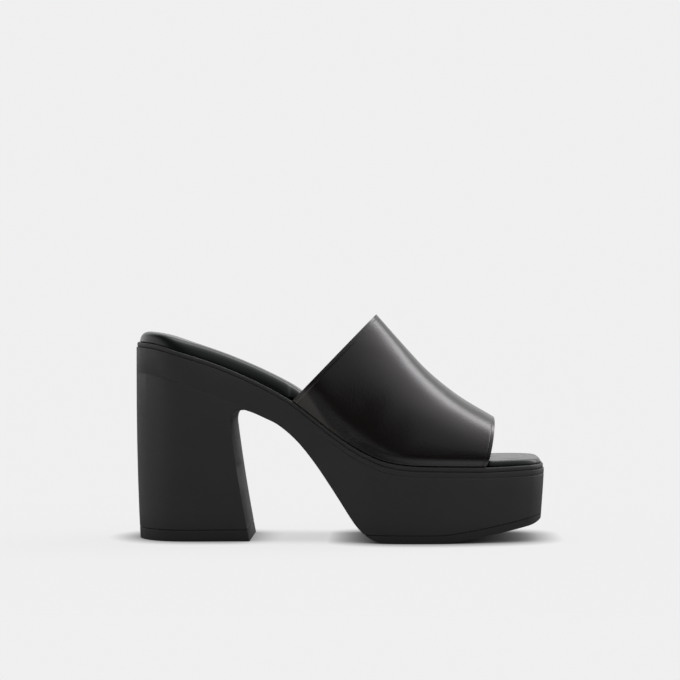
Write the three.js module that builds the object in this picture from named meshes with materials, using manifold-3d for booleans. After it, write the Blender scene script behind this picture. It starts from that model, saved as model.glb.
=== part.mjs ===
// A platform mule for the right foot, standing on its heel and forefoot.
// Millimetres, +Z up, toe towards +X, outer side of the foot towards -Y.
// The origin is on the floor, under the middle of the sole's length and width.
import * as THREE from 'three';
import { mergeVertices } from 'three/addons/utils/BufferGeometryUtils.js';
import Module from 'manifold-3d';

const wasm = await Module();
wasm.setup();

// Overall sizes of the sole
const soleLength = 235;
const ballWidth = 81;
const heelHeight = 113;
const platformHeight = 43.5;

// Heel block and arch
const heelBaseLength = 67.4;
const breastLean = 10.8;
const breastBow = 1.2;
const archCornerHeight = 9;
const archCornerReach = 1;
const heelTaper = 2.4;
const heelTaperPower = 2.2;
const topPieceThickness = 6.4;

// Forefoot
const platformBack = 133.6;
const platformRoll = 12;
const contactLength = 30;
const toeSpring = 11.8;
const springPower = 1.3;
const toeRollLength = 10;
const toeRollRise = 2.6;
const platformTaper = 2.9;
const platformTaperPower = 1.1;
const outsoleThickness = 4.5;
const outsoleToeThickness = 4.2;

// Round ends of the plan outline
const heelRound = 30;
const heelSquareness = 2.2;
const toeRoundOuter = 16;
const toeRoundInner = 14;
const toeSquareness = 4;

// Rim round the top of the side wall, and the moulded line under it
const rimRadius = 0.9;
const rimSetBack = 0.5;
const rimHeight = 2.3;
const rimLineWidth = 0.7;
const rimLineDepth = 0.4;
const mouldLineWidth = 0.9;
const mouldLineDepth = 0.4;

// Upper band
const upperWall = 1.6;
const marginWall = 0.9;
const upperInset = 0.9;
const upperBulge = 1.4;
const bulgeHeight = 3;
const lastingMargin = 8;
const featherRadius = 1;
const bandFront = 200.4;
const bandBack = 91.6;
const bandRise = 85;

// Padded insole
const insoleInset = 1.8;
const insolePad = 6.5;
const insoleCrown = 0.1;
const insoleUndercut = 2;

// Clearances between pieces
const gap = 0.35;
const underInsole = 0.32;
const underMargin = 0.2;
const besideBand = 0.8;
const overMargin = 0.6;

// Height of the rim: a share of the drop from heel to platform
const SEAT_LINE = [
  { along: 0, rise: 1 },
  { along: 0.05, rise: 0.983 },
  { along: 0.12, rise: 0.916 },
  { along: 0.2, rise: 0.828 },
  { along: 0.26, rise: 0.746 },
  { along: 0.32, rise: 0.651 },
  { along: 0.38, rise: 0.539 },
  { along: 0.44, rise: 0.388 },
  { along: 0.5, rise: 0.233 },
  { along: 0.56, rise: 0.108 },
  { along: 0.62, rise: 0.028 },
  { along: 0.68, rise: 0 },
  { along: 0.78, rise: -0.008 },
  { along: 0.86, rise: -0.012 },
  { along: 0.93, rise: -0.004 },
  { along: 1, rise: 0.008 },
];

// Plan outline of the side wall: shares of the ball width from the long axis
const PLAN = [
  { along: 0, outer: -0.372, inner: 0.372 },
  { along: 0.13, outer: -0.38, inner: 0.376 },
  { along: 0.28, outer: -0.352, inner: 0.322 },
  { along: 0.42, outer: -0.376, inner: 0.31 },
  { along: 0.5, outer: -0.42, inner: 0.348 },
  { along: 0.58, outer: -0.475, inner: 0.415 },
  { along: 0.66, outer: -0.5, inner: 0.472 },
  { along: 0.74, outer: -0.488, inner: 0.5 },
  { along: 0.83, outer: -0.444, inner: 0.488 },
  { along: 0.92, outer: -0.38, inner: 0.452 },
  { along: 1, outer: -0.31, inner: 0.405 },
];

// Thickness of the sole over the arch: a share of the platform height
const ARCH = [
  { along: 0.276, depth: 0.44 },
  { along: 0.297, depth: 0.427 },
  { along: 0.322, depth: 0.421 },
  { along: 0.358, depth: 0.418 },
  { along: 0.401, depth: 0.467 },
  { along: 0.444, depth: 0.572 },
  { along: 0.487, depth: 0.731 },
  { along: 0.53, depth: 0.935 },
];

// Moulded line: how far under the rim it runs, in shares of the platform height,
// and how deep it is, in shares of its full depth
const MOULD_LINE = [
  { along: 0, under: 0.4, strength: 0 },
  { along: 0.07, under: 0.4, strength: 0.7 },
  { along: 0.23, under: 0.42, strength: 0.7 },
  { along: 0.29, under: 0.36, strength: 0 },
  { along: 0.43, under: 0.16, strength: 0 },
  { along: 0.49, under: 0.135, strength: 1 },
  { along: 1, under: 0.135, strength: 1 },
];

// Sections of the upper, front edge first. Base and apex are shares of the sole's
// length, the apex height is a share of the band's rise, the bulge is a share of the
// full bulge over the rim, and the tuck a share of the height over which it fades.
// The arch is the exponent of its curve: 2 is an ellipse and more is squarer
const UPPER_SECTIONS = [
  { u: 0, base: 1, apex: 0.88, height: 0.308, side: 0.05, arch: 2.5, bulge: 1, tuck: 1, sweep: 0.6 },
  { u: 0.25, base: 0.77, apex: 0.797, height: 0.446, side: 0.048, arch: 2.35, bulge: 1, tuck: 1, sweep: 0.8 },
  { u: 0.5, base: 0.53, apex: 0.72, height: 0.617, side: 0.045, arch: 2.2, bulge: 1, tuck: 1.3, sweep: 0.95 },
  { u: 0.75, base: 0.265, apex: 0.654, height: 0.813, side: 0.042, arch: 2.1, bulge: 1.3, tuck: 2.5, sweep: 1 },
  { u: 1, base: 0, apex: 0.592, height: 1.007, side: 0.04, arch: 2.05, bulge: 1.8, tuck: 4, sweep: 1 },
];

// Padded insole, in shares of its thickness at the heel: how thick it is, how much
// higher its top is at the outer side, and how wide its rounded edge is
const PAD = [
  { along: 0, thickness: 1, lean: 0, round: 1 },
  { along: 0.08, thickness: 0.94, lean: 0.07, round: 0.95 },
  { along: 0.2, thickness: 0.93, lean: 0.25, round: 0.9 },
  { along: 0.38, thickness: 0.99, lean: 0.3, round: 0.9 },
  { along: 0.6, thickness: 0.68, lean: 0.05, round: 0.5 },
  { along: 0.8, thickness: 0.54, lean: 0, round: 0.32 },
  { along: 0.92, thickness: 0.49, lean: 0, round: 0.28 },
  { along: 1, thickness: 0.36, lean: 0, round: 0.25 },
];

// Edge of the padded insole: how far in and how far up, in shares of its size there
const INSOLE_EDGE = [
  { inset: 0, up: 0 },
  { inset: 0.03, up: 0.26 },
  { inset: 0.12, up: 0.5 },
  { inset: 0.27, up: 0.71 },
  { inset: 0.48, up: 0.87 },
  { inset: 0.74, up: 0.96 },
  { inset: 1, up: 1 },
];

const heelEnd = -soleLength / 2;
const toeEnd = soleLength / 2;
const soleTop = heelHeight + platformHeight;

// Reads one column of a table at a position, by a monotone cubic
function read(table, column, at, by = 'along') {
  const last = table.length - 1;
  if (at <= table[0][by]) return table[0][column];
  if (at >= table[last][by]) return table[last][column];
  const slope = (k) => (table[k + 1][column] - table[k][column]) / (table[k + 1][by] - table[k][by]);
  const tangent = (k) => {
    if (k === 0) return slope(0);
    if (k === last) return slope(last - 1);
    const before = slope(k - 1);
    const after = slope(k);
    return before * after <= 0 ? 0 : (2 * before * after) / (before + after);
  };
  const k = table.findIndex((row) => row[by] > at) - 1;
  const span = table[k + 1][by] - table[k][by];
  const t = (at - table[k][by]) / span;
  const rest = 1 - t;
  return (
    table[k][column] * rest * rest * (1 + 2 * t) +
    table[k + 1][column] * t * t * (3 - 2 * t) +
    span * t * rest * (tangent(k) * rest - tangent(k + 1) * t)
  );
}

// The length of the sole that the upper's margin takes, and the blend at its ends
const bandClear = 2.5;
const bandZone = () => ({ from: heelEnd + bandBack - gap, to: heelEnd + bandFront + gap });

const alongAt = (x) => (x - heelEnd) / soleLength;
const smooth = (t) => THREE.MathUtils.smoothstep(t, 0, 1);

function seatHeight(x) {
  return platformHeight + (heelHeight - platformHeight) * read(SEAT_LINE, 'rise', alongAt(x));
}

// A thickness square to the seat line, measured straight up
function lift(x, thickness) {
  const slope = seatHeight(x + 0.5) - seatHeight(x - 0.5);
  return thickness * Math.hypot(1, slope);
}

// How wide the plan is at a distance from a round end: 0 at the tip, 1 past the round
function endFactor(distance, round, squareness) {
  if (distance >= round) return 1;
  const t = 1 - Math.max(distance, 0) / round;
  return Math.pow(1 - Math.pow(t, squareness), 1 / squareness);
}

// Outer and inner edges of the plan at a position, moved in by an inset
function planAt(x, inset) {
  const along = alongAt(x);
  const outer = read(PLAN, 'outer', along) * ballWidth;
  const inner = read(PLAN, 'inner', along) * ballWidth;
  const centre = (outer + inner) / 2;
  const half = (inner - outer) / 2 - inset;
  const heel = endFactor(x - heelEnd, heelRound, heelSquareness);
  const toeOuter = endFactor(toeEnd - x, toeRoundOuter, toeSquareness);
  const toeInner = endFactor(toeEnd - x, toeRoundInner, toeSquareness);
  return { outer: centre - half * heel * toeOuter, inner: centre + half * heel * toeInner };
}

// Positions of the cross-sections, closer together at the round ends
const middleSteps = 32;
const endSteps = 8;

function roundSteps(round, squareness) {
  const steps = [];
  for (let k = 0; k < endSteps; k += 1) {
    const angle = (k / endSteps) * (Math.PI / 2);
    steps.push(round * (1 - Math.pow(Math.cos(angle), 2 / squareness)));
  }
  return steps;
}

function stations() {
  const toeRound = (toeRoundOuter + toeRoundInner) / 2;
  const zone = bandZone();
  const extra = [];
  for (const share of [0, 0.5, 1]) extra.push(zone.from - share * bandClear, zone.to + share * bandClear);
  const heel = roundSteps(heelRound, heelSquareness).map((d) => heelEnd + d);
  const toe = roundSteps(toeRound, toeSquareness).map((d) => toeEnd - d);
  const from = heelEnd + heelRound;
  const to = toeEnd - toeRound;
  const middle = [];
  for (let k = 0; k <= middleSteps; k += 1) middle.push(from + ((to - from) * k) / middleSteps);
  const kept = middle.filter((x) => extra.every((e) => Math.abs(e - x) > 1));
  return [...heel, ...kept, ...extra, ...toe].sort((a, b) => a - b);
}

// One closed ring round the plan: along the outer side to the toe, and back along
// the inner side. insetAt and heightAt say how far in and how high each point is
function ring(positions, insetAt, heightAt) {
  const outerSide = [];
  const innerSide = [];
  for (const x of positions) {
    const inset = insetAt(x);
    const plan = planAt(x, inset);
    const nearEnd = smooth((Math.abs(x) - toeEnd + heelRound) / heelRound);
    const moved = x - Math.sign(x) * inset * nearEnd;
    const z = heightAt(moved);
    outerSide.push(new THREE.Vector3(moved, plan.outer, z));
    innerSide.push(new THREE.Vector3(moved, plan.inner, z));
  }
  return [...outerSide, ...innerSide.slice(1, -1).reverse()];
}

function meshGeometry(points, triangles) {
  const geometry = new THREE.BufferGeometry();
  const flat = points.flatMap((p) => [p.x, p.y, p.z]);
  geometry.setAttribute('position', new THREE.Float32BufferAttribute(flat, 3));
  geometry.setIndex(triangles);
  return geometry;
}

// A closed solid through rings that go upwards, with a strip cap at each end
function ringSolid(rings) {
  const count = rings[0].length;
  const triangles = [];
  const quad = (a, b, c, d) => triangles.push(a, b, c, a, c, d);
  for (let r = 0; r < rings.length - 1; r += 1) {
    for (let k = 0; k < count; k += 1) {
      const next = (k + 1) % count;
      quad(r * count + k, r * count + next, (r + 1) * count + next, (r + 1) * count + k);
    }
  }
  const cap = (start, up) => {
    for (let k = 0; k < count / 2; k += 1) {
      const a = start + k;
      const b = start + k + 1;
      const c = start + ((count - k - 1) % count);
      const d = start + ((count - k) % count);
      const faces = [];
      if (b !== c) faces.push([a, b, c]);
      if (a !== d) faces.push([a, c, d]);
      for (const face of faces) triangles.push(...(up ? face : face.reverse()));
    }
  };
  cap(0, false);
  cap((rings.length - 1) * count, true);
  return meshGeometry(rings.flat(), triangles);
}

function toManifold(geometry) {
  const bare = geometry.clone();
  bare.deleteAttribute('normal');
  bare.deleteAttribute('uv');
  const merged = mergeVertices(bare, 1e-4);
  return new wasm.Manifold(
    new wasm.Mesh({
      numProp: 3,
      vertProperties: new Float32Array(merged.attributes.position.array),
      triVerts: new Uint32Array(merged.index.array),
    }),
  );
}

function fromManifold(solid) {
  const mesh = solid.getMesh();
  const geometry = new THREE.BufferGeometry();
  geometry.setAttribute('position', new THREE.BufferAttribute(mesh.vertProperties, 3));
  geometry.setIndex(new THREE.BufferAttribute(mesh.triVerts, 1));
  return geometry;
}

// A side profile drawn in X and Z, extruded right across the shoe
function acrossSole(shape, curveSegments) {
  const depth = 2 * ballWidth;
  const geometry = new THREE.ExtrudeGeometry(shape, { depth, bevelEnabled: false, curveSegments });
  geometry.rotateX(Math.PI / 2);
  geometry.translate(0, depth / 2, 0);
  return toManifold(geometry);
}

// Side wall of the whole sole, from below the floor to the rim
function sideWall() {
  const positions = stations();
  const under = (x) => read(MOULD_LINE, 'under', alongAt(x)) * platformHeight;
  const strength = (x) => read(MOULD_LINE, 'strength', alongAt(x)) * mouldLineDepth;
  const heelToPlatform = (x) => smooth((x - heelEnd - heelBaseLength) / (platformBack - heelBaseLength));
  const taperAt = (x) => THREE.MathUtils.lerp(heelTaper, platformTaper, heelToPlatform(x));
  const powerAt = (x) => THREE.MathUtils.lerp(heelTaperPower, platformTaperPower, heelToPlatform(x));
  const lowEdge = (x) => under(x) + mouldLineWidth / 2;
  const rings = [];
  const wallFloor = -outsoleThickness;
  const wallRows = 5;
  for (let row = 0; row <= wallRows; row += 1) {
    const share = 1 - row / wallRows;
    rings.push(
      ring(
        positions,
        (x) => taperAt(x) * Math.pow(share, powerAt(x)),
        (x) => THREE.MathUtils.lerp(seatHeight(x) - lowEdge(x), wallFloor, share),
      ),
    );
  }
  const wallLevel = (insetAt, dropAt) => {
    rings.push(ring(positions, insetAt, (x) => seatHeight(x) - dropAt(x)));
  };
  wallLevel(strength, under);
  wallLevel(() => 0, (x) => under(x) - mouldLineWidth / 2);
  wallLevel(() => 0, () => rimHeight + rimLineWidth);
  wallLevel(() => rimSetBack + rimLineDepth, () => rimHeight + rimLineWidth / 2);
  wallLevel(() => rimSetBack, () => rimHeight);
  const rimSteps = 3;
  for (let k = 0; k <= rimSteps; k += 1) {
    const angle = (k / rimSteps) * (Math.PI / 2);
    wallLevel(
      () => rimSetBack + rimRadius * (1 - Math.cos(angle)),
      () => rimRadius * (1 - Math.sin(angle)),
    );
  }
  return toManifold(ringSolid(rings));
}

// Height of the outsole's underside over the forefoot: flat, then toe spring,
// then the roll of the toe's edge
const contactEnd = heelEnd + platformBack + platformRoll + contactLength;
const springShare = (x) => Math.max(0, x - contactEnd) / (toeEnd - contactEnd);
const rollShare = (x) => Math.max(0, x - toeEnd + toeRollLength) / toeRollLength;

const springHeight = (x) => toeSpring * Math.pow(springShare(x), springPower);
const groundHeight = (x) => springHeight(x) + toeRollRise * Math.pow(rollShare(x), 2);

// Everything above the underside of the assembled sole, as a side profile
function undersideProfile() {
  const breastFoot = heelEnd + heelBaseLength;
  const breastTop = breastFoot - breastLean;
  const archPoints = ARCH.map((row) => {
    const x = heelEnd + row.along * soleLength;
    return new THREE.Vector2(x, seatHeight(x) - row.depth * platformHeight);
  });
  const crown = archPoints[0];
  const cornerFoot = crown.y - archCornerHeight;
  const shape = new THREE.Shape();
  shape.moveTo(2 * heelEnd, 0);
  shape.lineTo(breastFoot, 0);
  shape.quadraticCurveTo((breastFoot + breastTop) / 2 - breastBow, cornerFoot / 2, breastTop, cornerFoot);
  shape.quadraticCurveTo(breastTop - archCornerReach, crown.y, crown.x, crown.y);
  shape.splineThru(archPoints.slice(1));
  const corner = heelEnd + platformBack;
  shape.quadraticCurveTo(corner, 0, corner + platformRoll, 0);
  shape.lineTo(contactEnd, 0);
  springPositions().forEach((x) => shape.lineTo(x, groundHeight(x)));
  shape.lineTo(toeEnd + 1, soleTop);
  shape.lineTo(2 * heelEnd, soleTop);
  return shape;
}

// Positions along the toe spring, out past the toe
function springPositions() {
  const steps = 9;
  const rollSteps = 5;
  const rollStart = toeEnd - toeRollLength;
  const positions = [];
  for (let k = 1; k <= steps; k += 1) positions.push(contactEnd + ((rollStart - contactEnd) * k) / steps);
  for (let k = 1; k <= rollSteps; k += 1) positions.push(rollStart + (toeRollLength * k) / rollSteps);
  return [...positions, toeEnd + 1];
}

// Everything under the joint between the outsole and the platform
function jointProfile(clearance) {
  const thickness = (x) => THREE.MathUtils.lerp(outsoleThickness, outsoleToeThickness, springShare(x)) + clearance;
  const shape = new THREE.Shape();
  const from = heelEnd + heelBaseLength + 1;
  shape.moveTo(from, -soleTop);
  shape.lineTo(toeEnd + 1, -soleTop);
  springPositions()
    .reverse()
    .forEach((x) => shape.lineTo(x, springHeight(x) + thickness(x)));
  shape.lineTo(contactEnd, thickness(contactEnd));
  shape.lineTo(from, thickness(from));
  return shape;
}

// Everything in the heel lower than a height
function heelProfile(height) {
  const shape = new THREE.Shape();
  const to = heelEnd + heelBaseLength + 1;
  shape.moveTo(2 * heelEnd, -soleTop);
  shape.lineTo(to, -soleTop);
  shape.lineTo(to, height);
  shape.lineTo(2 * heelEnd, height);
  return shape;
}

// Where along the band's zone a position is: 1 inside it, 0 clear of it
function bandWindow(x) {
  const zone = bandZone();
  return smooth((x - zone.from) / bandClear + 1) * smooth((zone.to - x) / bandClear + 1);
}

function insoleGeometry() {
  const positions = stations();
  const padAt = (x) => insolePad * read(PAD, 'thickness', alongAt(x));
  const bandEdge = upperInset + upperWall + besideBand;
  const roundAt = (x) => insolePad * read(PAD, 'round', alongAt(x));
  const leanAt = (x) => insolePad * read(PAD, 'lean', alongAt(x));
  const leaning = (points, share) => {
    for (const point of points) point.z -= (share * leanAt(point.x) * point.y) / (ballWidth / 2);
    return points;
  };
  const edgeInset = (x) => THREE.MathUtils.lerp(insoleInset, bandEdge, bandWindow(x));
  const rebate = (x) => bandWindow(x) * (marginWall + overMargin);
  const underneath = (x) => seatHeight(x) + lift(x, underInsole);
  const rebated = (x) => underneath(x) + lift(x, rebate(x));
  const rings = [];
  const rebateEnd = lastingMargin + besideBand;
  rings.push(ring(positions, (x) => edgeInset(x) + rebateEnd + overMargin, underneath));
  rings.push(ring(positions, (x) => edgeInset(x) + rebateEnd, rebated));
  rings.push(ring(positions, (x) => edgeInset(x) + insoleUndercut, rebated));
  for (const row of INSOLE_EDGE) {
    const edge = ring(
      positions,
      (x) => edgeInset(x) + row.inset * roundAt(x),
      (x) => rebated(x) + lift(x, row.up * (padAt(x) - rebate(x))),
    );
    rings.push(leaning(edge, row.up));
  }
  const crownWidth = 9;
  for (const share of [0.4, 0.75, 1]) {
    const crown = ring(
      positions,
      (x) => edgeInset(x) + roundAt(x) + share * crownWidth,
      (x) => underneath(x) + lift(x, padAt(x) + share * insoleCrown),
    );
    rings.push(leaning(crown, 1));
  }
  return ringSolid(rings);
}

// One section of the upper: its feather points on the rim and its apex
function upperSection(u) {
  const column = (name) => read(UPPER_SECTIONS, name, u, 'u');
  const baseX = heelEnd + THREE.MathUtils.lerp(bandBack, bandFront, column('base'));
  const plan = planAt(baseX, upperInset);
  return {
    baseX,
    baseZ: seatHeight(baseX) + lift(baseX, underMargin),
    apexX: heelEnd + column('apex') * soleLength,
    apexZ: platformHeight + column('height') * bandRise,
    apexY: column('side') * ballWidth,
    outer: plan.outer,
    inner: plan.inner,
    roundness: column('arch'),
    bulge: column('bulge') * upperBulge,
    tuckHeight: column('tuck') * bulgeHeight,
    sweep: column('sweep'),
  };
}

const marginSteps = 2;
const featherSteps = 3;
const archSteps = 14;
const archCrowding = 1.7;

// Half of a section, from the margin under the insole, round the feather edge and
// up to the apex. toward is -1 on the outer side and 1 on the inner side
function halfSection(section, toward) {
  const foot = toward < 0 ? section.outer : section.inner;
  const rise = section.apexZ - section.baseZ;
  const points = [];
  const put = (y, height) => {
    const swept = Math.pow(height / rise, section.sweep);
    const x = THREE.MathUtils.lerp(section.baseX, section.apexX, swept);
    points.push(new THREE.Vector3(x, y, section.baseZ + height));
  };
  for (let k = 0; k < marginSteps; k += 1) {
    const reach = THREE.MathUtils.lerp(lastingMargin, featherRadius, k / marginSteps);
    put(foot - toward * reach, 0);
  }
  for (let k = 0; k < featherSteps; k += 1) {
    const angle = (k / featherSteps) * (Math.PI / 2);
    put(foot - toward * featherRadius * (1 - Math.sin(angle)), featherRadius * (1 - Math.cos(angle)));
  }
  const half = Math.abs(foot + toward * section.bulge - section.apexY);
  const start = Math.asin(Math.pow(featherRadius / rise, section.roundness / 2));
  for (let k = 0; k <= archSteps; k += 1) {
    const angle = THREE.MathUtils.lerp(start, Math.PI / 2, Math.pow(k / archSteps, archCrowding));
    const height = rise * Math.pow(Math.sin(angle), 2 / section.roundness);
    const reach = half * Math.pow(Math.abs(Math.cos(angle)), 2 / section.roundness);
    const tucked = section.bulge * (1 - smooth((height - featherRadius) / section.tuckHeight));
    const spread = k === archSteps ? 0 : reach;
    put(section.apexY + toward * (spread - Math.min(tucked, spread)), height);
  }
  return points;
}

// The upper: a wall of even thickness over a loft of its sections
function upperGeometry() {
  const alongSteps = 20;
  const outside = [];
  for (let k = 0; k <= alongSteps; k += 1) {
    const section = upperSection(k / alongSteps);
    const outer = halfSection(section, -1);
    const inner = halfSection(section, 1);
    outside.push([...outer, ...inner.slice(0, -1).reverse()]);
  }
  const across = outside[0].length;
  const at = (i, j) => outside[THREE.MathUtils.clamp(i, 0, alongSteps)][THREE.MathUtils.clamp(j, 0, across - 1)];
  const wallAt = (j) => {
    const fromEdge = Math.min(j, across - 1 - j);
    return THREE.MathUtils.lerp(marginWall, upperWall, smooth((fromEdge - 1) / (marginSteps + featherSteps + 1)));
  };
  const inside = outside.map((row, i) =>
    row.map((point, j) => {
      const down = new THREE.Vector3().subVectors(at(i + 1, j), at(i - 1, j));
      const over = new THREE.Vector3().subVectors(at(i, j + 1), at(i, j - 1));
      const inward = new THREE.Vector3().crossVectors(down, over).normalize();
      return point.clone().addScaledVector(inward, wallAt(j));
    }),
  );
  const points = [...outside.flat(), ...inside.flat()];
  const shift = outside.length * across;
  const triangles = [];
  const quad = (a, b, c, d) => triangles.push(a, b, c, a, c, d);
  const id = (i, j) => i * across + j;
  for (let i = 0; i < alongSteps; i += 1) {
    for (let j = 0; j < across - 1; j += 1) {
      const corners = [id(i, j), id(i, j + 1), id(i + 1, j + 1), id(i + 1, j)];
      quad(...corners);
      quad(...corners.map((c) => c + shift).reverse());
    }
    for (const j of [0, across - 1]) {
      const edge = [id(i, j), id(i + 1, j), id(i + 1, j) + shift, id(i, j) + shift];
      quad(...(j === 0 ? edge : edge.reverse()));
    }
  }
  for (let j = 0; j < across - 1; j += 1) {
    for (const i of [0, alongSteps]) {
      const edge = [id(i, j), id(i, j) + shift, id(i, j + 1) + shift, id(i, j + 1)];
      quad(...(i === 0 ? edge : edge.reverse()));
    }
  }
  return meshGeometry(points, triangles);
}

function material(color, roughness) {
  return new THREE.MeshStandardMaterial({ color, roughness, metalness: 0 });
}

function named(name, geometry, look) {
  geometry.computeVertexNormals();
  const mesh = new THREE.Mesh(geometry, look);
  mesh.name = name;
  return mesh;
}

// The assembled sole is cut into its moulded unit, outsole and top piece
const profileSegments = 8;
const wholeSole = sideWall().intersect(acrossSole(undersideProfile(), profileSegments));
const outsole = wholeSole.intersect(acrossSole(jointProfile(0), profileSegments));
const topPiece = wholeSole.intersect(acrossSole(heelProfile(topPieceThickness), profileSegments));
const soleUnit = wholeSole
  .subtract(acrossSole(jointProfile(gap), profileSegments))
  .subtract(acrossSole(heelProfile(topPieceThickness + gap), profileSegments));

const mouldedBlack = material(0x272728, 0.62);
const rubberBlack = material(0x222222, 0.7);
const smoothLeather = material(0x1e1c1c, 0.35);
const sockLeather = material(0x2b2f30, 0.45);

const mule = new THREE.Group();
mule.add(named('sole_unit', fromManifold(soleUnit), mouldedBlack));
mule.add(named('outsole', fromManifold(outsole), rubberBlack));
mule.add(named('top_piece', fromManifold(topPiece), rubberBlack));
mule.add(named('insole', insoleGeometry(), sockLeather));
mule.add(named('upper', upperGeometry(), smoothLeather));

export default mule;
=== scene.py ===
"""A platform mule for the right foot, dressed for a studio picture.

The solids of the part come in already placed. The sole pieces get slightly rounded
edges and their moulded and rubber finishes. The upper and the padded insole are made
from their solids as soft pieces, and a pale studio with one camera goes round them.
Metres, +Z up, toe towards +X, outer side of the foot towards -Y.
"""

from __future__ import annotations

import logging
import math
from dataclasses import dataclass
from enum import Enum
from typing import Any

import bmesh
import bpy
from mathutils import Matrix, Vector
from mathutils.kdtree import KDTree

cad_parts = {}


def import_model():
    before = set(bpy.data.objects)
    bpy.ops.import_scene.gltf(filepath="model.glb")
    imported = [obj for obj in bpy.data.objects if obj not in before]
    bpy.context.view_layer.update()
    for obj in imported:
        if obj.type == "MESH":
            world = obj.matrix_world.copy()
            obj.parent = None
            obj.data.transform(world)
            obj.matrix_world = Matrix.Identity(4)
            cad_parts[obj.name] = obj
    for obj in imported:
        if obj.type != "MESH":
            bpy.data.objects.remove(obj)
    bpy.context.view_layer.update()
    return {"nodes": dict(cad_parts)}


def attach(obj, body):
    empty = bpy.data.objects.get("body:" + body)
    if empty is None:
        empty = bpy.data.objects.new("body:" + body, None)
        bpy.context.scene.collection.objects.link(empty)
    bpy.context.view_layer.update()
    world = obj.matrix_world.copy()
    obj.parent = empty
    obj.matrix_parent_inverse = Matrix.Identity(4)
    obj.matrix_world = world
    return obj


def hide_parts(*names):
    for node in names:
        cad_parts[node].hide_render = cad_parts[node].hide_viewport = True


LOG = logging.getLogger("platform_mule")

MM = 0.001
BODY = "root"
EDGE = "edge_distance"
EDGE_STEPS = 8
MERGE_WITHIN = 0.002 * MM
WHITE = (1.0, 1.0, 1.0, 1.0)
Colour = tuple[float, float, float]
Span = tuple[float, float]


class Slot(Enum):
    """The material slots' names, listed beside the sole's pieces but not given to them here."""

    MOULDED_SOLE = "moulded_sole"
    TREAD_RUBBER = "tread_rubber"
    SOCK_LEATHER = "sock_leather"
    UPPER_LEATHER = "upper_leather"


class SmoothBy(Enum):
    """How sharp an edge has to be before the shading breaks there, in degrees."""

    MOULDING = 28.0
    LEATHER = 80.0


class Detail(Enum):
    """How many finer layers a noise has."""

    PLAIN = 1.0
    SOFT = 2.0
    CLOUDY = 3.0
    SCUFFED = 4.0


# ---------------------------------------------------------------- shader nodes


class Signal:
    """A value that varies from place to place, with Python's own arithmetic."""

    def __init__(self, bench: Bench, socket: bpy.types.NodeSocket) -> None:
        """Wraps one output socket.

        Args:
            bench: the node tree that the socket belongs to.
            socket: the output that carries the value.
        """
        self.bench = bench
        self.socket = socket

    def _maths(self, operation: str, left: Any, right: Any = None) -> Signal:
        """Adds one Math node.

        Args:
            operation: the node's operation.
            left: the first value.
            right: the second value, if the operation has one.

        Returns:
            The result.
        """
        inputs = {0: left} if right is None else {0: left, 1: right}
        return self.bench.value("ShaderNodeMath", {"operation": operation}, inputs)

    def __add__(self, other: Any) -> Signal:
        """This plus the other."""
        return self._maths("ADD", self, other)

    def __radd__(self, other: Any) -> Signal:
        """The other plus this."""
        return self._maths("ADD", other, self)

    def __sub__(self, other: Any) -> Signal:
        """This less the other."""
        return self._maths("SUBTRACT", self, other)

    def __rsub__(self, other: Any) -> Signal:
        """The other less this."""
        return self._maths("SUBTRACT", other, self)

    def __mul__(self, other: Any) -> Signal:
        """This times the other."""
        return self._maths("MULTIPLY", self, other)

    def __rmul__(self, other: Any) -> Signal:
        """The other times this."""
        return self._maths("MULTIPLY", other, self)

    def __pow__(self, other: Any) -> Signal:
        """This to the power of the other."""
        return self._maths("POWER", self, other)

    def __abs__(self) -> Signal:
        """This without its sign."""
        return self._maths("ABSOLUTE", self)


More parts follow.
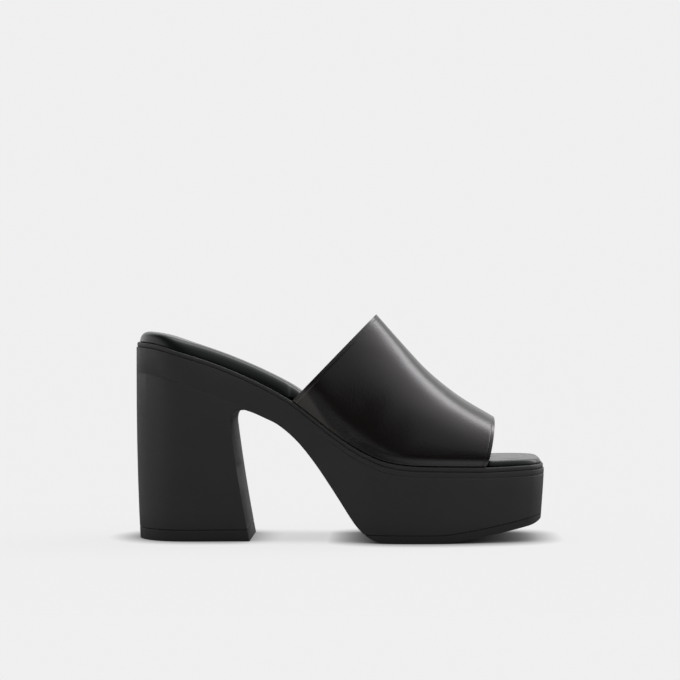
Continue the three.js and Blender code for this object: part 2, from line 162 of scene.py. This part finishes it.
class Bench:
    """The node tree of one material or of the world."""

    noise_middle: float = 0.5
    noise_roughness: float = 0.5
    cell_smoothness: float = 0.6
    mix_share: int = 0
    mix_first: int = 6
    mix_second: int = 7
    mix_result: int = 2

    def __init__(self, owner: Any) -> None:
        """Empties the owner's node tree.

        Args:
            owner: a material or a world.
        """
        owner.use_nodes = True
        self.tree = owner.node_tree
        self.tree.nodes.clear()

    def node(
        self,
        kind: str,
        settings: dict[str, Any] | None = None,
        inputs: dict[str | int, Any] | None = None,
    ) -> bpy.types.Node:
        """Adds a node.

        Args:
            kind: the node's type.
            settings: its own settings, set before its sockets.
            inputs: a value, a signal or a socket for each input, by name or number.

        Returns:
            The new node.
        """
        made = self.tree.nodes.new(kind)
        for name, value in (settings or {}).items():
            setattr(made, name, value)
        for name, value in (inputs or {}).items():
            target = made.inputs[name]
            if isinstance(value, Signal):
                value = value.socket
            if isinstance(value, bpy.types.NodeSocket):
                self.tree.links.new(value, target)
            else:
                target.default_value = value
        return made

    def value(
        self,
        kind: str,
        settings: dict[str, Any] | None = None,
        inputs: dict[str | int, Any] | None = None,
        output: str | int = 0,
    ) -> Signal:
        """Adds a node and wraps one of its outputs.

        Args:
            kind: the node's type.
            settings: its own settings.
            inputs: what its sockets get.
            output: the output to wrap.

        Returns:
            That output as a signal.
        """
        return Signal(self, self.node(kind, settings, inputs).outputs[output])

    def surface(self, inputs: dict[str | int, Any]) -> None:
        """Adds a material's main shader and its output.

        Args:
            inputs: what the main shader's sockets get.
        """
        shader = self.node("ShaderNodeBsdfPrincipled", {}, inputs)
        self.node("ShaderNodeOutputMaterial", {}, {"Surface": shader.outputs[0]})

    def place(self) -> bpy.types.NodeSocket:
        """The position on the object, in metres."""
        return self.node("ShaderNodeTexCoord").outputs["Object"]

    def split(self, vector: bpy.types.NodeSocket) -> list[Signal]:
        """A vector's X, Y and Z."""
        parts = self.node("ShaderNodeSeparateXYZ", {}, {0: vector}).outputs
        return [Signal(self, part) for part in parts]

    def noise(
        self, size: float, detail: Detail = Detail.SOFT, stretch: Vector | None = None
    ) -> Signal:
        """Even noise over the object.

        Args:
            size: how far apart its lumps are, in metres.
            detail: how many finer layers it has.
            stretch: how much each axis is squeezed, or nothing for even lumps.

        Returns:
            The noise, from 0 to 1.
        """
        at = self.place()
        if stretch is not None:
            at = self.node("ShaderNodeMapping", {}, {"Vector": at, "Scale": stretch}).outputs[0]
        inputs = {
            "Vector": at,
            "Scale": 1 / size,
            "Detail": detail.value,
            "Roughness": self.noise_roughness,
        }
        return self.value("ShaderNodeTexNoise", {}, inputs, "Fac")

    def cells(self, size: float) -> Signal:
        """Small rounded cells over the object, as on grained leather.

        Args:
            size: how far apart the cells are, in metres.

        Returns:
            The distance from the middle of each cell.
        """
        settings = {"feature": "SMOOTH_F1"}
        inputs = {"Vector": self.place(), "Scale": 1 / size, "Smoothness": self.cell_smoothness}
        return self.value("ShaderNodeTexVoronoi", settings, inputs, "Distance")

    def attribute(self, name: str) -> Signal:
        """A value that the mesh itself carries, by its name."""
        settings = {"attribute_name": name}
        return self.value("ShaderNodeAttribute", settings, {}, "Fac")

    def fade(self, signal: Signal, start: float, end: float) -> Signal:
        """A smooth step.

        Args:
            signal: what is measured.
            start: where the result is still 0.
            end: where it has reached 1.

        Returns:
            The step, from 0 to 1.
        """
        settings = {"interpolation_type": "SMOOTHSTEP"}
        inputs = {"Value": signal, "From Min": start, "From Max": end}
        return self.value("ShaderNodeMapRange", settings, inputs, "Result")

    def line(self, signal: Signal, centre: float, half_width: float) -> Signal:
        """A soft line where a signal passes a value.

        Args:
            signal: what is measured.
            centre: the value on the line.
            half_width: how far from it the line fades out.

        Returns:
            1 on the line and 0 beside it.
        """
        return 1 - self.fade(abs(signal - centre), 0.0, half_width)

    def around(self, middle: float, noise: Signal, spread: float) -> Signal:
        """A value that a noise moves up and down.

        Args:
            middle: the value at the noise's middle.
            noise: the noise, from 0 to 1.
            spread: how far apart its lowest and highest values are.

        Returns:
            The moved value.
        """
        return middle + (noise - self.noise_middle) * spread

    def colours(self, share: Signal, first: Any, second: Colour) -> bpy.types.NodeSocket:
        """A colour between two others.

        Args:
            share: 0 for the first colour and 1 for the second.
            first: the first colour, or a socket that carries it.
            second: the second colour.

        Returns:
            The mixed colour.
        """
        start = (*first, 1.0) if isinstance(first, tuple) else first
        inputs = {self.mix_share: share, self.mix_first: start, self.mix_second: (*second, 1.0)}
        return self.node("ShaderNodeMix", {"data_type": "RGBA"}, inputs).outputs[self.mix_result]

    def relief(self, height: Signal, depth: float, under: Any = None) -> bpy.types.NodeSocket:
        """A fine relief in the surface.

        Args:
            height: the relief, from 0 to 1.
            depth: how high 1 stands, in metres.
            under: a relief that this one lies on, if any.

        Returns:
            The changed normal.
        """
        inputs = {"Height": height, "Distance": depth, "Strength": 1.0}
        if under is not None:
            inputs["Normal"] = under
        return self.node("ShaderNodeBump", {}, inputs).outputs[0]


# ------------------------------------------------------------------- finishes


@dataclass(frozen=True)
class SatinLeather:
    """Smooth black leather with a satin sheen and a fine grain."""

    name: str = "satin_leather"
    deep: Colour = (0.0036, 0.0027, 0.0019)
    worn: Colour = (0.0058, 0.0045, 0.0035)
    # painted reflection: a lighter olive tone that stands in for the floor's reflection low on the
    # band
    painted_reflection: Colour = (0.0500, 0.0470, 0.0400)
    sheen: Colour = (1.0, 0.96, 1.0)
    ior: float = 1.5
    roughness: float = 0.24
    roughness_spread: float = 0.08
    cloud_size: float = 11 * MM
    shade_size: float = 34 * MM
    grain_size: float = 0.9 * MM
    grain_depth: float = 0.065 * MM
    pore_size: float = 0.4 * MM
    pore_depth: float = 0.026 * MM
    wave_size: float = 22 * MM
    wave_depth: float = 0.35 * MM
    fold_from_edge: float = 1.9 * MM
    fold_half_width: float = 0.55 * MM
    fold_depth: float = 0.16 * MM
    corner: tuple[float, float] = (-21 * MM, 77 * MM)
    foot_slope: float = 0.83
    corner_reach: float = 9.5 * MM
    corner_length: float = 19 * MM
    corner_fade: float = 3 * MM
    foot_reach: float = 1.5 * MM
    foot_length: float = 38 * MM

    def painted_reflection_mask(self, bench: Bench) -> Signal:
        """Where a lighter, olive painted reflection of the floor lies: along the band's foot and
        over its low back corner.

        Args:
            bench: the leather's node tree.

        Returns:
            1 where the painted reflection lies and 0 elsewhere.
        """
        x, _, z = bench.split(bench.place())
        along = x - self.corner[0]
        above = z - self.corner[1] + along * self.foot_slope
        reach = self.foot_reach + bench.fade(along, self.corner_length, 0.0) * self.corner_reach
        share = bench.fade(reach - above, -self.corner_fade, self.corner_fade)
        return share * bench.fade(along, self.foot_length, self.corner_length)

    def material(self) -> bpy.types.Material:
        """Makes the leather's material.

        Returns:
            The material.
        """
        made = bpy.data.materials.new(self.name)
        bench = Bench(made)
        cloud = bench.noise(self.cloud_size, Detail.CLOUDY)
        shade = bench.noise(self.shade_size)
        wave = bench.noise(self.wave_size, Detail.PLAIN)
        normal = bench.relief(wave, self.wave_depth)
        fold = bench.line(bench.attribute(EDGE), self.fold_from_edge, self.fold_half_width)
        normal = bench.relief(1 - fold, self.fold_depth, normal)
        normal = bench.relief(bench.cells(self.grain_size), self.grain_depth, normal)
        pores = bench.noise(self.pore_size, Detail.PLAIN)
        tone = bench.colours(shade, self.deep, self.worn)
        bench.surface({
            # painted reflection of the floor along the band's foot and over its low back corner
            "Base Color": bench.colours(self.painted_reflection_mask(bench), tone, self.painted_reflection),
            "Roughness": bench.around(self.roughness, cloud, self.roughness_spread),
            "IOR": self.ior,
            "Specular Tint": (*self.sheen, 1.0),
            "Normal": bench.relief(pores, self.pore_depth, normal),
        })
        return made


@dataclass(frozen=True)
class SockLeather:
    """Smooth dark leather over the padded insole, with a line pressed along its edge."""

    name: str = "sock_leather"
    deep: Colour = (0.0038, 0.0052, 0.0056)
    pale: Colour = (0.0062, 0.0080, 0.0084)
    roughness: float = 0.27
    roughness_spread: float = 0.12
    ior: float = 1.37
    cloud_size: float = 18 * MM
    grain_size: float = 0.6 * MM
    grain_depth: float = 0.010 * MM
    line_from_edge: float = 10 * MM
    line_half_width: float = 2.2 * MM
    line_depth: float = 0.4 * MM

    def material(self) -> bpy.types.Material:
        """Makes the insole leather's material.

        Returns:
            The material.
        """
        made = bpy.data.materials.new(self.name)
        bench = Bench(made)
        cloud = bench.noise(self.cloud_size, Detail.CLOUDY)
        pressed = bench.line(bench.attribute(EDGE), self.line_from_edge, self.line_half_width)
        normal = bench.relief(1 - pressed, self.line_depth)
        bench.surface({
            "Base Color": bench.colours(cloud, self.deep, self.pale),
            "Roughness": bench.around(self.roughness, cloud, self.roughness_spread),
            "IOR": self.ior,
            "Normal": bench.relief(bench.cells(self.grain_size), self.grain_depth, normal),
        })
        return made


@dataclass(frozen=True)
class LiningFabric:
    """Soft napped lining inside the upper."""

    name: str = "napped_lining"
    deep: Colour = (0.010, 0.010, 0.010)
    pale: Colour = (0.020, 0.019, 0.019)
    roughness: float = 0.9
    specular: float = 0.15
    nap_sheen: float = 0.25
    nap_sheen_roughness: float = 0.5
    nap_size: float = 0.5 * MM
    nap_depth: float = 0.05 * MM

    def material(self) -> bpy.types.Material:
        """Makes the lining's material.

        Returns:
            The material.
        """
        made = bpy.data.materials.new(self.name)
        bench = Bench(made)
        nap = bench.noise(self.nap_size, Detail.CLOUDY)
        bench.surface({
            "Base Color": bench.colours(nap, self.deep, self.pale),
            "Roughness": self.roughness,
            "Specular IOR Level": self.specular,
            "Sheen Weight": self.nap_sheen,
            "Sheen Roughness": self.nap_sheen_roughness,
            "Normal": bench.relief(nap, self.nap_depth),
        })
        return made


@dataclass(frozen=True)
class MouldedSkin:
    """The matt skin of a moulded sole: fine even texture, faint flow marks."""

    name: str = "moulded_skin"
    deep: Colour = (0.0262, 0.0259, 0.0266)
    pale: Colour = (0.0330, 0.0326, 0.0334)
    roughness: float = 0.58
    roughness_spread: float = 0.18
    specular: float = 0.35
    scuff_size: float = 3 * MM
    scuff_stretch: tuple[float, float, float] = (0.25, 1.0, 1.0)
    texture_size: float = 0.28 * MM
    texture_depth: float = 0.012 * MM
    flow_size: float = 22 * MM
    flow_depth: float = 0.05 * MM

    def material(self) -> bpy.types.Material:
        """Makes the moulding's material.

        Returns:
            The material.
        """
        made = bpy.data.materials.new(self.name)
        bench = Bench(made)
        flow = bench.noise(self.flow_size, Detail.CLOUDY)
        scuff = bench.noise(self.scuff_size, Detail.SCUFFED, Vector(self.scuff_stretch))
        normal = bench.relief(flow, self.flow_depth)
        bench.surface({
            "Base Color": bench.colours(flow, self.deep, self.pale),
            "Roughness": bench.around(self.roughness, scuff, self.roughness_spread),
            "Specular IOR Level": self.specular,
            "Normal": bench.relief(bench.noise(self.texture_size), self.texture_depth, normal),
        })
        return made


@dataclass(frozen=True)
class TreadRubber:
    """Matt rubber with fine slanted cuts across its underside."""

    name: str = "tread_rubber"
    deep: Colour = (0.0222, 0.0222, 0.0225)
    pale: Colour = (0.0285, 0.0285, 0.0288)
    roughness: float = 0.66
    roughness_spread: float = 0.15
    specular: float = 0.3
    cloud_size: float = 14 * MM
    underside: Span = (-0.95, -0.7)
    cut_scale: float = 96.875
    cut_wall: Span = (0.1, 0.35)
    cut_depth: float = 0.35 * MM
    texture_size: float = 0.35 * MM
    texture_depth: float = 0.014 * MM

    def cuts(self, bench: Bench) -> Signal:
        """The tread's cuts, only where the rubber faces down.

        Args:
            bench: the rubber's node tree.

        Returns:
            1 between the cuts, and 0 in them and on the sides.
        """
        facing = bench.node("ShaderNodeNewGeometry").outputs["True Normal"]
        below = 1 - bench.fade(bench.split(facing)[2], *self.underside)
        settings = {"wave_type": "BANDS", "bands_direction": "DIAGONAL", "wave_profile": "SIN"}
        inputs = {"Vector": bench.place(), "Scale": self.cut_scale}
        wave = bench.value("ShaderNodeTexWave", settings, inputs, "Fac")
        return bench.fade(wave, *self.cut_wall) * below

    def material(self) -> bpy.types.Material:
        """Makes the rubber's material.

        Returns:
            The material.
        """
        made = bpy.data.materials.new(self.name)
        bench = Bench(made)
        cloud = bench.noise(self.cloud_size, Detail.CLOUDY)
        normal = bench.relief(self.cuts(bench), self.cut_depth)
        bench.surface({
            "Base Color": bench.colours(cloud, self.deep, self.pale),
            "Roughness": bench.around(self.roughness, cloud, self.roughness_spread),
            "Specular IOR Level": self.specular,
            "Normal": bench.relief(bench.noise(self.texture_size), self.texture_depth, normal),
        })
        return made


# ----------------------------------------------------------------- shoe pieces


def merged_shape(node: bpy.types.Object) -> bmesh.types.BMesh:
    """Copies a solid of the part with its loose triangles joined up.

    Args:
        node: the solid's object.

    Returns:
        The joined shape.
    """
    shape = bmesh.new()
    shape.from_mesh(node.data)
    bmesh.ops.remove_doubles(shape, verts=shape.verts[:], dist=MERGE_WITHIN)
    return shape


def four_sided(shape: bmesh.types.BMesh) -> None:
    """Joins the pairs of triangles of a regular shape into four-sided faces.

    Args:
        shape: the shape to change.
    """
    bmesh.ops.join_triangles(
        shape,
        faces=shape.faces[:],
        angle_face_threshold=math.pi,
        angle_shape_threshold=math.pi,
        topology_influence=1.0,
    )


def round_off(
    shape: bmesh.types.BMesh, edges: list[bmesh.types.BMEdge], radius: float, segments: int
) -> None:
    """Rounds some edges of a shape.

    Args:
        shape: the shape to change.
        edges: the edges to round.
        radius: how far from each edge the rounding starts, in metres.
        segments: how many faces it has across.
    """
    bmesh.ops.bevel(
        shape,
        geom=edges,
        offset=radius,
        segments=segments,
        profile=0.5,
        affect="EDGES",
        clamp_overlap=True,
        material=-1,
    )


def store_edge_distance(shape: bmesh.types.BMesh, edges: list[bmesh.types.BMEdge]) -> None:
    """Stores each point's distance to the nearest of some edges, in metres.

    Args:
        shape: the shape that gets the value.
        edges: the edges to measure from.
    """
    tree = KDTree(len(edges) * EDGE_STEPS)
    for n, edge in enumerate(edges):
        a, b = (v.co for v in edge.verts)
        for k in range(EDGE_STEPS):
            tree.insert(a.lerp(b, k / EDGE_STEPS), n * EDGE_STEPS + k)
    tree.balance()
    layer = shape.verts.layers.float.new(EDGE)
    for vert in shape.verts:
        vert[layer] = tree.find(vert.co)[2]


def finished_object(
    shape: bmesh.types.BMesh, name: str, smooth_by: SmoothBy, *looks: bpy.types.Material
) -> bpy.types.Object:
    """Turns a shape into a smooth shaded object at the origin.

    Args:
        shape: the shape, which is freed.
        name: the object's name.
        smooth_by: how sharp an edge stays sharp.
        looks: the materials, in the order of the shape's material numbers.

    Returns:
        The new object, in the scene.
    """
    mesh = bpy.data.meshes.new(name)
    shape.to_mesh(mesh)
    shape.free()
    for look in looks:
        mesh.materials.append(look)
    mesh.shade_smooth()
    mesh.set_sharp_from_angle(angle=math.radians(smooth_by.value))
    made = bpy.data.objects.new(name, mesh)
    bpy.context.scene.collection.objects.link(made)
    return made


def subdivide(piece: bpy.types.Object, levels: int) -> None:
    """Rounds a soft piece with a live subdivision."""
    smooth = piece.modifiers.new("rounding", "SUBSURF")
    smooth.levels = smooth.render_levels = levels


@dataclass
class MouldedSole:
    """The sole unit, its outsole and the heel's top piece."""

    edge_radius: float = 0.3 * MM
    edge_segments: int = 2
    flat_within: float = 0.4
    sharp_from: float = 30.0

    def build(self, nodes: dict[str, bpy.types.Object]) -> list[bpy.types.Object]:
        """Makes the three pieces from their solids and dresses them.

        Args:
            nodes: the part's solids by name.

        Returns:
            The sole unit, the outsole and the top piece.
        """
        moulding = MouldedSkin().material()
        rubber = TreadRubber().material()
        pieces = []
        for node, slot, look in (
            ("sole_unit", Slot.MOULDED_SOLE, moulding),
            ("outsole", Slot.TREAD_RUBBER, rubber),
            ("top_piece", Slot.TREAD_RUBBER, rubber),
        ):
            shape = self.softened(nodes[node])
            piece = finished_object(shape, f"{node}_moulding", SmoothBy.MOULDING, look)
            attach(piece, BODY)
            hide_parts(node)
            pieces.append(piece)
        return pieces

    def softened(self, node: bpy.types.Object) -> bmesh.types.BMesh:
        """A solid with its sharp edges slightly rounded, as a mould leaves them.

        Args:
            node: the solid's object.

        Returns:
            The rounded shape.
        """
        shape = merged_shape(node)
        bmesh.ops.dissolve_limit(
            shape,
            angle_limit=math.radians(self.flat_within),
            verts=shape.verts[:],
            edges=shape.edges[:],
        )
        limit = math.radians(self.sharp_from)
        sharp = [e for e in shape.edges if e.is_manifold and e.calc_face_angle(0.0) > limit]
        round_off(shape, sharp, self.edge_radius, self.edge_segments)
        return shape


@dataclass
class Upper:
    """The wide band over the instep: leather outside, napped lining inside."""

    edge_radius: float = 0.55 * MM
    edge_segments: int = 2
    levels: int = 2
    edge_from: float = 50.0
    lining_number: int = 1

    def build(self, node: bpy.types.Object) -> bpy.types.Object:
        """Makes the band from its solid and dresses it.

        Args:
            node: the band's solid.

        Returns:
            The band.
        """
        shape = merged_shape(node)
        four_sided(shape)
        self.mark_inside(shape)
        store_edge_distance(shape, self.wall_ends(shape))
        round_off(shape, self.wall_ends(shape), self.edge_radius, self.edge_segments)
        looks = (SatinLeather().material(), LiningFabric().material())
        piece = finished_object(shape, "leather_band", SmoothBy.LEATHER, *looks)
        subdivide(piece, self.levels)
        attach(piece, BODY)
        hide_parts("upper")
        return piece

    def wall_ends(self, shape: bmesh.types.BMesh) -> list[bmesh.types.BMEdge]:
        """The edges where the band's wall ends."""
        limit = math.radians(self.edge_from)
        return [e for e in shape.edges if e.is_convex and e.calc_face_angle(0.0) > limit]

    def mark_inside(self, shape: bmesh.types.BMesh) -> None:
        """Gives the lining's material to the inner skin, the second largest.

        Args:
            shape: the band's shape.
        """
        borders = set(self.wall_ends(shape))
        left = set(shape.faces)
        skins = []
        while left:
            front = [left.pop()]
            skin = list(front)
            while front:
                for edge in front.pop().edges:
                    found = [f for f in edge.link_faces if f in left and edge not in borders]
                    left.difference_update(found)
                    front.extend(found)
                    skin.extend(found)
            skins.append(skin)
        skins.sort(key=lambda skin: -sum(f.calc_area() for f in skin))
        for face in skins[self.lining_number]:
            face.material_index = self.lining_number
        LOG.info("upper: skins of %s faces", [len(skin) for skin in skins])


@dataclass
class PaddedInsole:
    """The padded sock that the foot stands on."""

    levels: int = 2
    fill: float = 0.6
    facing_down: float = -0.3

    def build(self, node: bpy.types.Object) -> bpy.types.Object:
        """Makes the insole from its solid and dresses it.

        Args:
            node: the insole's solid.

        Returns:
            The insole.
        """
        shape = merged_shape(node)
        four_sided(shape)
        self.measure_edge(shape)
        piece = finished_object(shape, "padded_sock", SmoothBy.LEATHER, SockLeather().material())
        subdivide(piece, self.levels)
        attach(piece, BODY)
        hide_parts("insole")
        return piece

    def measure_edge(self, shape: bmesh.types.BMesh) -> None:
        """Keeps the pad's outline sharp, and stores each point's distance from it.

        Args:
            shape: the pad's shape.
        """
        crease = shape.edges.layers.float.new("crease_edge")
        foot = [e for e in shape.edges if self.on_outline(e)]
        for edge in foot:
            edge[crease] = 1.0
        store_edge_distance(shape, foot)

    def on_outline(self, edge: bmesh.types.BMEdge) -> bool:
        """Whether an edge lies where the side turns from facing down to facing up.

        Args:
            edge: an edge of the pad.

        Returns:
            True on the outline.
        """
        if not edge.is_manifold:
            return False
        first, second = (f.normal.z for f in edge.link_faces)
        return min(first, second) < self.facing_down < 0 < max(first, second)


# --------------------------------------------------------------------- studio


@dataclass
class Table:
    """A matt pale table top that glows as if lit from under, with painted shadow near the sole,
    and ends nearer than the camera stands.
    """

    half: float = 30.0
    front: float = -0.3
    tone: float = 0.065
    glow: float = 0.784
    steep: Span = (0.2, 1.0)
    steep_glow: float = 0.85
    contact_rays: int = 16
    contact_reach: float = 0.019
    contact_depth: float = 1.5
    arch_shade: float = 0.20
    arch_middle: float = -0.015
    arch_length: float = 0.080
    arch_width: float = 0.045
    arch_core: float = 0.3

    def build(self) -> None:
        """Makes the table, which is no part of the shoe."""
        shape = bmesh.new()
        bmesh.ops.create_grid(shape, x_segments=1, y_segments=1, size=self.half)
        for vert in shape.verts:
            vert.co.y = max(vert.co.y, self.front)
        mesh = bpy.data.meshes.new("studio_floor")
        shape.to_mesh(mesh)
        shape.free()
        mesh.materials.append(self.material())
        floor = bpy.data.objects.new("studio_floor", mesh)
        bpy.context.scene.collection.objects.link(floor)

    def painted_shadow_factor(self, bench: Bench) -> Signal:
        """The painted shadow on the table's glow.

        Args:
            bench: the table's node tree.

        Returns:
            1 in the open, and less in the painted contact shadow close to the sole and the painted
            shade under the arch.
        """
        # painted contact shadow: an occlusion sample near the sole darkens the table's glow
        settings = {"samples": self.contact_rays}
        inputs = {"Distance": self.contact_reach}
        contact = bench.value("ShaderNodeAmbientOcclusion", settings, inputs, "AO")
        # painted shade under the arch: a soft box in the table's own coordinates
        x, y, _ = bench.split(bench.place())
        along = bench.fade(
            abs(x - self.arch_middle), self.arch_length, self.arch_length * self.arch_core
        )
        across = bench.fade(abs(y), self.arch_width, self.arch_width * self.arch_core)
        return contact**self.contact_depth * (1 - self.arch_shade * along * across)

    def material(self) -> bpy.types.Material:
        """Makes the table's material, which the camera sees evenly lit.

        Returns:
            The material.
        """
        made = bpy.data.materials.new("pale_floor")
        bench = Bench(made)
        paint = bench.node("ShaderNodeBsdfDiffuse", {}, {"Color": (*[self.tone] * 3, 1.0)})
        facing = bench.node("ShaderNodeNewGeometry").outputs["Incoming"]
        # the table glows like a lamp towards the shoe, more for rays that come in steeply
        low = bench.fade(bench.split(facing)[2], *self.steep) * self.steep_glow
        seen = bench.value("ShaderNodeLightPath", {}, {}, "Is Camera Ray")
        # the table's glow carries the painted shadow
        glow = self.painted_shadow_factor(bench) * (seen * self.glow + (1 - seen) * low)
        lit = bench.node("ShaderNodeEmission", {}, {"Color": glow})
        both = bench.node("ShaderNodeAddShader", {}, {0: paint.outputs[0], 1: lit.outputs[0]})
        bench.node("ShaderNodeOutputMaterial", {}, {"Surface": both.outputs[0]})
        return made


@dataclass
class StudioLight:
    """Soft light from above and behind, a dim room in front and a plain backdrop.

    A span is where that light starts and is full, as a part of the direction it
    comes from: side is towards the toe, depth away from the camera and rise up.
    """

    backdrop: float = 0.868
    room_glow: float = 0.05
    ceiling_base: float = 0.45
    ceiling_glow: float = 1.2
    ceiling_depth: Span = (-0.9, 0.0)
    ceiling_end: Span = (0.5, 0.8)
    box_glow: float = 2.95
    box_front: Span = (-0.1, 0.42)
    box_back: Span = (0.68, 0.42)
    overhead_side: Span = (-0.13, 0.15)
    overhead_rise: Span = (0.1, 0.32)
    backdrop_glow: float = 0.84
    backdrop_depth: Span = (0.4, 0.9)
    heel_glow: float = 1.3
    heel_side: Span = (-0.45, -0.85)
    toe_glow: float = 0.55
    toe_side: Span = (0.55, 0.95)
    spot_way: tuple[float, float, float] = (-0.34, -0.93, -0.15)
    spot_glow: float = 0.5
    spot_span: Span = (0.98, 0.997)
    sun_way: tuple[float, float, float] = (0.54, 0.42, 0.73)
    sun_strength: float = 0.2
    sun_angle: float = 20.0
    sun_distance: float = 3.0

    def build(self) -> None:
        """Makes the surroundings and the sun."""
        self.surroundings()
        self.sun()

    def surroundings(self) -> None:
        """The light from all round, and the plain backdrop that the camera sees."""
        world = bpy.data.worlds.new("studio")
        bpy.context.scene.world = world
        bench = Bench(world)
        light = bench.node("ShaderNodeBackground", {}, {"Color": self.glow(bench)})
        plain = bench.node("ShaderNodeBackground", {}, {"Color": WHITE, "Strength": self.backdrop})
        seen = bench.node("ShaderNodeLightPath").outputs["Is Camera Ray"]
        inputs = {0: seen, 1: light.outputs[0], 2: plain.outputs[0]}
        both = bench.node("ShaderNodeMixShader", {}, inputs)
        bench.node("ShaderNodeOutputWorld", {}, {"Surface": both.outputs[0]})

    def glow(self, bench: Bench) -> Signal:
        """How bright the studio is in each direction.

        Args:
            bench: the world's node tree.

        Returns:
            The brightness.
        """
        way = bench.node("ShaderNodeTexCoord").outputs["Generated"]
        side, depth, rise = bench.split(way)
        aim = {0: way, 1: Vector(self.spot_way).normalized()}
        spot = bench.value("ShaderNodeVectorMath", {"operation": "DOT_PRODUCT"}, aim, "Value")
        ceiling = self.ceiling_base + bench.fade(depth, *self.ceiling_depth) * self.ceiling_glow
        ceiling = ceiling * (1 - bench.fade(depth, *self.ceiling_end))
        box = bench.fade(depth, *self.box_front) * bench.fade(depth, *self.box_back)
        overhead = bench.fade(side, *self.overhead_side) * bench.fade(rise, *self.overhead_rise)
        glow = self.room_glow + (ceiling + box * self.box_glow) * overhead
        for part, span, strength in (
            (depth, self.backdrop_depth, self.backdrop_glow),
            (side, self.heel_side, self.heel_glow),
            (side, self.toe_side, self.toe_glow),
            (spot, self.spot_span, self.spot_glow),
        ):
            glow = glow + bench.fade(part, *span) * strength
        return glow

    def sun(self) -> None:
        """A weak, broad sun, high behind the shoe and towards its toe."""
        light = bpy.data.lights.new("softbox", "SUN")
        light.energy = self.sun_strength
        light.angle = math.radians(self.sun_angle)
        lamp = bpy.data.objects.new("softbox", light)
        way = Vector(self.sun_way).normalized()
        lamp.rotation_mode = "QUATERNION"
        lamp.rotation_quaternion = way.to_track_quat("Z", "Y")
        lamp.location = way * self.sun_distance
        bpy.context.scene.collection.objects.link(lamp)


@dataclass
class Camera:
    """The camera, level with the upper and almost square to the shoe's side."""

    focal_px: float = 1900.0
    image_px: float = 680.0
    sensor: float = 36.0
    clip: Span = (0.05, 200.0)
    distance: float = 1.1
    azimuth: float = 1.7
    elevation: float = 0.4
    target: tuple[float, float, float] = (0.00033, 0.0, 0.1139)

    def build(self) -> None:
        """Makes the camera and looks through it."""
        data = bpy.data.cameras.new("camera")
        data.sensor_width = self.sensor
        data.lens = self.focal_px / self.image_px * self.sensor
        data.clip_start, data.clip_end = self.clip
        eye = bpy.data.objects.new("camera", data)
        a = math.radians(self.azimuth)
        e = math.radians(self.elevation)
        back = Vector((math.sin(a) * math.cos(e), -math.cos(a) * math.cos(e), math.sin(e)))
        eye.location = Vector(self.target) + back * self.distance
        eye.rotation_mode = "QUATERNION"
        eye.rotation_quaternion = back.to_track_quat("Z", "Y")
        bpy.context.scene.collection.objects.link(eye)
        bpy.context.scene.camera = eye


class Studio:
    """The table, the light and the camera round the shoe."""

    def build(self) -> None:
        """Makes the studio, with its colours shown as they are."""
        Table().build()
        StudioLight().build()
        Camera().build()
        view = bpy.context.scene.view_settings
        view.view_transform = "Standard"
        view.look = "None"


def main() -> None:
    """Builds the shoe and its studio."""
    logging.basicConfig(level=logging.INFO, format="%(name)s: %(message)s")
    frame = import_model()
    nodes = frame["nodes"]
    for piece in MouldedSole().build(nodes):
        LOG.info("%s", piece.name)
    LOG.info("%s", PaddedInsole().build(nodes["insole"]).name)
    LOG.info("%s", Upper().build(nodes["upper"]).name)
    Studio().build()


if __name__ == "__main__":
    main()
